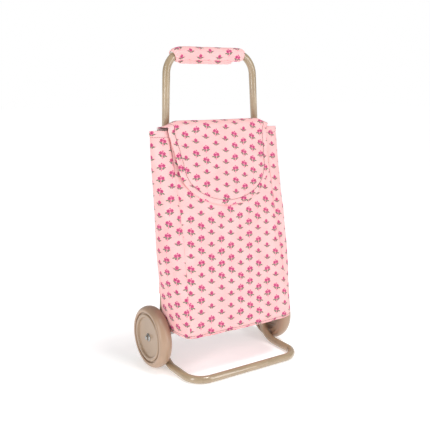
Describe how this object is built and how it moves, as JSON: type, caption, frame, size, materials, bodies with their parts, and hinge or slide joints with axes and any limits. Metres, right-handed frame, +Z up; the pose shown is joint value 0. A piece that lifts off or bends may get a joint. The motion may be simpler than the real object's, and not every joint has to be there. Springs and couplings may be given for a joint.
{
  "type": "shopping trolley",
  "caption": "Child's two-wheeled shopping trolley: bent tube frame, flowered cloth bag with a lifting flap, padded grip, floor loop.",
  "frame": {"origin": "middle of the underside of the bounding box, on the floor", "axes": "+X to the right as seen from the front, -Y towards the front, +Z up"},
  "size_m": [0.2964, 0.177, 0.5696],
  "materials": {
    "painted_tube": "satin beige powder coat",
    "bright_steel": "zinc plated",
    "wheel_plastic": "satin moulded beige",
    "tyre_rubber": "matt beige",
    "printed_cotton": "plain weave cotton with a small flower print",
    "wadding": "soft white wadding",
    "stiffener_board": "grey-brown board",
    "hook_and_loop": "napped tape"
  },
  "bodies": {
    "frame": {"axle": "bright_steel", "bag_back": "printed_cotton", "bag_bottom": "printed_cotton", "bag_front": "printed_cotton", "bag_side_left": "printed_cotton", "bag_side_right": "printed_cotton", "bottom_board": "stiffener_board", "cover_closure_strip": "hook_and_loop", "handle_cover": "printed_cotton", "handle_foam": "wadding", "leg_loop_lower_left": "printed_cotton", "leg_loop_lower_right": "printed_cotton", "leg_loop_upper_left": "printed_cotton", "leg_loop_upper_right": "printed_cotton", "loop_patch": "hook_and_loop", "lower_frame_tube": "painted_tube", "push_nut_left": "bright_steel", "push_nut_right": "bright_steel", "splice_nut_left": "bright_steel", "splice_nut_right": "bright_steel", "splice_screw_left": "bright_steel", "splice_screw_right": "bright_steel", "upper_frame_tube": "painted_tube", "wheel_washer_left": "wheel_plastic", "wheel_washer_right": "wheel_plastic"},
    "wheel_left": {"wheel_disc_left": "wheel_plastic", "tyre_left": "tyre_rubber"},
    "wheel_right": {"wheel_disc_right": "wheel_plastic", "tyre_right": "tyre_rubber"},
    "flap_top": {"flap_top": "printed_cotton"},
    "flap_front": {"flap_front": "printed_cotton", "flap_binding": "printed_cotton", "hook_patch": "hook_and_loop"}
  },
  "joints": [
    {"name": "wheel_left_spin", "type": "hinge", "parent": "frame", "child": "wheel_left", "pos_m": [-0.13446, 0.03219, 0.05629], "axis": [1, 0, 0], "continuous": true},
    {"name": "wheel_right_spin", "type": "hinge", "parent": "frame", "child": "wheel_right", "pos_m": [0.13446, 0.03219, 0.05629], "axis": [1, 0, 0], "continuous": true},
    {"name": "flap_lift", "type": "hinge", "parent": "frame", "child": "flap_top", "pos_m": [0, 0.03617, 0.43085], "axis": [-1, 0, 0], "range_deg": [0, 45]},
    {"name": "flap_unfold", "type": "hinge", "parent": "flap_top", "child": "flap_front", "pos_m": [0, 0.01087, 0.42882], "axis": [-1, 0, 0], "range_deg": [0, 105]}
  ],
  "couplings": [
    {"joint": "flap_unfold", "follows": "flap_lift", "ratio": 2.3333}
  ]
}
